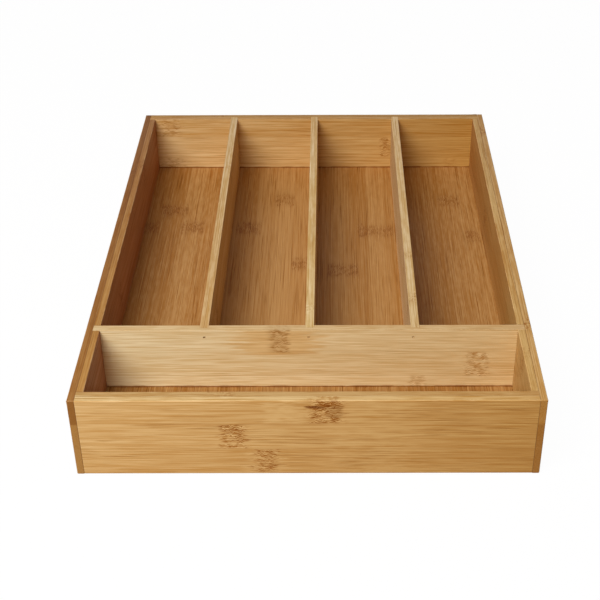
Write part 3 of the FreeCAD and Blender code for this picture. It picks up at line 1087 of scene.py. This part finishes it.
# %% The boards' tones
TONES = {
    # The front wall's outer ply, the back wall's inner ply and the cross divider darken from start to
    # end: painted shade.
    "front_wall_outer_ply": ("E2BF86", "C39958", "DEC898", "D1B177"),
    "front_wall_inner_ply": ("C9A771", "C29E68", "C6AA78", "C3A16A"),
    "back_wall_inner_ply": ("EACD9A", "CB9F56", "C8A574", "C2A471"),
    "back_wall_outer_ply": ("D5AD70", "D0A96D", "B69359", "A9854D"),
    "left_side_outer_ply": ("B28552", "A2703A", "A37842", "855826"),
    "left_side_inner_ply": ("BD8C6F", "B48058", "B88F52", "A1794C"),
    "right_side_outer_ply": ("CDA972", "C49F69", "D5B781", "BE9E6C"),
    "right_side_inner_ply": ("CBA668", "B8864D", "C9A86C", "C1A36F"),
    "cross_divider": ("FFF0C6", "ECCF99", "D4BE93", "CDB081"),
    "divider_left": ("DDBD86", "DDBD86", "D6BB8C", "DAC9A6"),
    "divider_centre": ("DCBF8B", "DCBF8B", "E2D1A2", "DDCAA4"),
    "divider_right": ("DEC39C", "DEC399", "D9C599", "DECBA5"),
    "base_panel": ("B58D58", "B98D55", "B58D58", "B98D55"),
}
print("boards with tones:", len(TONES))

# %% [markdown]
# `bamboo_finish` wires the groups for one board and puts the finish on it: where the grain runs,
# where its strips begin, its tones and its marks. Sanded bamboo has little shine, so its specular
# level is low. The fibre is twice as long on the boards that run back.

# %% A function for the finishes
WALL_STRIP = 17.2
RAGGED_SIZE = (14, 1.1, 1.1)
FADE_ON_EDGE = 0.55
FIBRE_PARTS = ("Streaks", "Hairlines", "Strands", "Curls", "Shade", "Mottle")
FIBRE_BUMP = 0.12 * MM
BUMP_STRENGTH = 0.3
BAMBOO_SHINE = 0.1
OIL_COAT = 0.02
OIL_ROUGHNESS = 0.35


def bamboo_finish(
    node,
    grain,
    knuckles,
    seed,
    first_edge=0.7,
    strip_width=WALL_STRIP,
    dark_streaks=(),
    hazes=(),
    pale_patches=(),
    dark_ends=(),
    strip_share=0.3,
    streak_share=0.44,
    strand_share=0.5,
    fineness=1.0,
    corner_shade_share=0.0,
    end_paint="94652B",
):
    """Makes a bamboo finish and puts it on its board."""
    finish, tree, shader = new_finish(f"bamboo_{node}", specular=BAMBOO_SHINE)
    shader.inputs["Coat Weight"].default_value = OIL_COAT
    shader.inputs["Coat Roughness"].default_value = OIL_ROUGHNESS
    place = in_millimetres(tree, grain)
    tray_place = in_millimetres(tree, NO_TURN)
    half_length = (TRAY_HALF_WIDTH if grain == ALONG_X else TRAY_HALF_DEPTH) / MM
    tones = dict(zip(("Face_Start", "Face_End", "Edge_Start", "Edge_End"), map(paint, TONES[node])))
    toned = use_group(tree, tone_group, Place=place, Half_Length=half_length, **tones)
    ragged = grain_noise(place, RAGGED_SIZE, 1.5, seed)
    knuckle = masks(place, ragged, knuckles)
    pale = masks(place, ragged, pale_patches)
    if grain != FLOOR_ALONG_Y:
        faded = minus(1.0, times(toned["Edge"], FADE_ON_EDGE))
        knuckle = times(knuckle, faded)
    strips = use_group(
        tree, strip_group, Place=place, First_Edge=first_edge, Strip_Width=strip_width, Seed=seed
    )
    fibre = use_group(
        tree,
        fibre_group,
        Place=vector_work("MULTIPLY", place, (1.0, fineness, fineness))[0],
        Stretch=(1.0 if grain == ALONG_X else 0.5, 1.0, 1.0),
        Knuckle=knuckle,
        Seed=seed,
    )
    glints_on_patches = times(pale, fibre["Mottle"])
    coloured = use_group(
        tree,
        colour_group,
        Tone=toned["Tone"],
        Strip_Tone=strips["Strip Tone"],
        Strip_Share=strip_share,
        Streak_Share=streak_share,
        Strand_Share=strand_share,
        Glints=work_out("MAXIMUM", fibre["Glints"], glints_on_patches),
        Edge=toned["Edge"],
        Dark_Streak=masks(place, ragged, dark_streaks),
        Haze=masks(place, ragged, hazes),
        Glue_Line=strips["Glue Line"],
        **{label: fibre[label] for label in FIBRE_PARTS},
    )
    worn_with_painted_light = use_group(
        tree,
        wear_and_light_group,
        Colour=coloured["Colour"],
        Place=place,
        Tray_Place=tray_place,
        Edge=toned["Edge"],
        # Painted shade in the corners where boards stand on the floor, for the boards that have it.
        Grime_Share=corner_shade_share,
        Grain_Way=grain[0],
        Dark_End=masks(place, ragged, dark_ends),
        End_Paint=paint(end_paint),
        Hairlines=fibre["Hairlines"],
    )
    plug(worn_with_painted_light["Colour"], shader.inputs["Base Color"])
    plug(worn_with_painted_light["Roughness"], shader.inputs["Roughness"])
    add_bump(shader, fibre["Height"], FIBRE_BUMP, BUMP_STRENGTH)
    bpy.data.objects[f"{node}_board"].data.materials.append(finish)
    print(finish.name, len(tree.nodes), "nodes")


# %% [markdown]
# The walls. Each face shows three strips, whose joints lie at the same height on the whole board.
# The knuckles are placed one by one, seldom two near each other, because a stem has one only every
# hand's breadth. The largest, near the middle of the front, has a dark streak at its left. Some strips
# have a pale patch beside the knuckle. The side walls' front ends show the sawn fibre, where one strip
# or two are darker.

# %% The walls' finishes
bamboo_finish(
    "front_wall_outer_ply",
    ALONG_X,
    knuckles=[(9.5, 43.7, 9, 8.6, 1.0), (-39.8, 26.5, 7, 8.6, 0.88), (-23.0, 9.3, 7, 8.6, 0.8)],
    seed=1.3,
    dark_streaks=[(4.6, 46.6, 5.5, 0.8, 0.65), (14.5, 43.5, 4.5, 4.5, 0.3)],
    pale_patches=[
        (-13.0, 43.7, 12.0, 8.4, 0.8),
        (36.0, 25.5, 26.0, 27.0, 0.5),
        (-23.0, 9.3, 10.0, 8.4, 0.7),
    ],
)
bamboo_finish(
    "front_wall_inner_ply",
    ALONG_X,
    first_edge=3.0,
    knuckles=[(-45.0, 46.0, 7, 8.5, 0.8), (70.0, 28.8, 7, 8.5, 0.8)],
    seed=2.1,
    pale_patches=[(0.0, 46.0, 62.0, 8.0, 0.8)],
    corner_shade_share=1.0,
)
bamboo_finish(
    "back_wall_inner_ply",
    ALONG_X,
    first_edge=1.8,
    knuckles=[
        (-109.0, 44.8, 9, 8.5, 0.5),
        (-109.7, 10.4, 9, 8.5, 0.5),
        (54.2, 27.6, 4, 8.5, 0.7),
        (104.4, 10.4, 5, 8.5, 0.25),
    ],
    seed=3.7,
    streak_share=0.38,
    strand_share=0.35,
    corner_shade_share=1.0,
)
bamboo_finish(
    "back_wall_outer_ply",
    ALONG_X,
    knuckles=[(-72.0, 43.7, 8, 8.4, 0.8), (31.0, 26.5, 8, 8.4, 0.8), (88.0, 9.3, 7, 8.4, 0.7)],
    seed=4.4,
)
bamboo_finish(
    "left_side_outer_ply",
    ALONG_Y,
    knuckles=[(-96.0, 26.5, 8, 8.4, 0.8), (-12.0, 9.3, 8, 8.4, 0.8), (84.0, 43.7, 8, 8.4, 0.7)],
    seed=5.2,
    end_paint="A77C3E",
    dark_ends=[(-175.0, 43.5, 6.0, 9.2, 1.0)],
)
bamboo_finish(
    "right_side_outer_ply",
    ALONG_Y,
    knuckles=[(-104.0, 43.7, 6, 8.4, 1.4), (22.0, 26.5, 8, 8.4, 0.8), (146.0, 43.7, 6, 8.4, 1.4)],
    seed=6.8,
    end_paint="9B6513",
    dark_ends=[(-175.0, 26.4, 6.0, 8.9, 0.65), (-175.0, 9.0, 6.0, 9.6, 0.65)],
)
bamboo_finish(
    "left_side_inner_ply",
    ALONG_Y,
    first_edge=1.5,
    knuckles=[(-40.0, 27.3, 7, 8.4, 0.6), (96.0, 44.5, 7, 8.4, 0.6)],
    seed=7.5,
)
# On the right side wall's inner ply, the pale patch near the front is painted light: the glow that the
# pale cross divider throws on the wall. Its haze darkens the face behind the cross divider.
bamboo_finish(
    "right_side_inner_ply",
    ALONG_Y,
    first_edge=1.5,
    knuckles=[(-132.0, 44.5, 7, 8.4, 0.6), (60.0, 27.3, 7, 8.4, 0.6)],
    seed=8.9,
    hazes=[(-32.0, 30.0, 42.0, 24.0, 0.4)],
    pale_patches=[(-124.0, 30.0, 26.0, 24.0, 1.0)],
)

# %% [markdown]
# The dividers are cut from paler board. A haze darkens the top strip of the cross divider round
# its knuckle. Each long divider has its own seed and knuckles, so that no two of them look alike.

# %% The dividers' finishes
bamboo_finish(
    "cross_divider",
    ALONG_X,
    first_edge=1.3,
    knuckles=[(-16.6, 43.3, 5, 8.6, 0.62), (97.6, 26.6, 7, 9.4, 0.66), (63.8, 9.9, 5, 8.6, 0.5)],
    seed=9.6,
    dark_streaks=[(-17.7, 43.3, 6.0, 8.4, 0.2)],
    hazes=[(-18.0, 42.0, 24.0, 9.0, 0.8)],
    pale_patches=[(97.6, 26.6, 14.0, 8.4, 0.4)],
    streak_share=0.22,
    strand_share=0.2,
    corner_shade_share=1.0,
)
DIVIDER_KNUCKLES = {
    "divider_left": [(-58.0, 27.1, 7, 8.4, 0.6), (92.0, 44.1, 6, 8.4, 0.45)],
    "divider_centre": [(-88.0, 44.1, 5, 8.4, 0.5), (38.0, 27.1, 8, 8.4, 0.6)],
    "divider_right": [(-76.0, 44.1, 5, 8.4, 0.8), (-28.0, 44.1, 4, 8.4, 0.5), (64.0, 9.9, 7, 8.4, 0.6)],
}
for number, (divider, knuckles) in enumerate(DIVIDER_KNUCKLES.items()):
    bamboo_finish(divider, ALONG_Y, first_edge=1.3, knuckles=knuckles, seed=10.4 + 3.3 * number)

# %% [markdown]
# The floor is one thin panel of narrower strips that run from front to back, browner than the
# rest. Its knuckles lie a few to a compartment and are faint, because the panel was sanded deeper.
# Each is given by its place from left to right, from front to back, and by its half width. The front
# compartment's floor is darkened, which is painted shade: that narrow compartment lies in the shade of
# the front wall and the cross divider. The two compartments in the middle are paler.

# %% The floor's finish
FLOOR_STRIP = 13.35
FLOOR_KNUCKLES = (
    (-116.1, 74.8, 6.8), (-101.1, 100.0, 10.5), (-86.0, 76.0, 9.0), (-45.7, 74.4, 9.5),
    (-21.2, 115.1, 7.5), (-7.6, 26.0, 6.8), (20.8, 18.2, 11.0), (44.1, 69.8, 13.0),
    (99.1, 113.0, 8.5), (112.4, 62.6, 5.0), (-101.0, -60.0, 6.8), (-61.0, -92.0, 6.8),
    (5.6, -84.0, 6.8), (32.3, -104.0, 6.8), (-34.0, -140.0, 6.8), (85.7, -128.0, 6.8),
)
bamboo_finish(
    "base_panel",
    FLOOR_ALONG_Y,
    first_edge=1.0,
    knuckles=[(y, -x, 8.0, half_width, 0.5) for x, y, half_width in FLOOR_KNUCKLES],
    seed=17.1,
    strip_width=FLOOR_STRIP,
    # The first dark streak darkens the front compartment's floor: painted shade.
    dark_streaks=[(-138.0, 0.0, 29.0, 130.0, 0.3)]
    + [(y, -x, 11.0, half_width, 0.1) for x, y, half_width in FLOOR_KNUCKLES],
    pale_patches=[(20.0, 30.2, 160.0, 29.0, 0.6), (20.0, -30.2, 160.0, 29.0, 0.3)],
    strip_share=0.47,
    streak_share=0.46,
    strand_share=0.7,
    fineness=0.95,
    corner_shade_share=1.0,
)

# %% [markdown]
# The brads are steel wire with a tan coat. Only their blunt ends show, at the bottom of small
# holes. The attribute says how much of the coat is gone, and a fine noise breaks its border up, so
# that it wears through in specks and not all at once.

# %% The brads' finish
BRAD_GRAIN = (0.25, 0.25, 0.25)
BRAD_BUMP = 0.02 * MM
COAT_PAINT = paint("DDB880")
BARE_PAINT = paint("865620")
BARE_FROM = (0.7, 1.0)
BARE_METAL = 0.1
BRAD_ROUGHNESS = (0.3, 0.7, 0.5, 0.8)
brad_finish, tree, shader = new_finish("brad_steel", specular=0.15)
fine = grain_noise(in_millimetres(tree, NO_TURN), BRAD_GRAIN, 2.0, 5.0)
bare = ramp(plus(attribute(tree, "scraped"), fine), *BARE_FROM)
brad_colour = mix_paints(bare, COAT_PAINT, BARE_PAINT)
plug(brad_colour, shader.inputs["Base Color"])
plug(times(bare, BARE_METAL), shader.inputs["Metallic"])
plug(ramp(fine, *BRAD_ROUGHNESS), shader.inputs["Roughness"])
add_bump(shader, fine, BRAD_BUMP, 1.0)
for name, _, _, _ in brads:
    bpy.data.objects[name].data.materials.append(brad_finish)
print("brads with their finish:", len(brads))
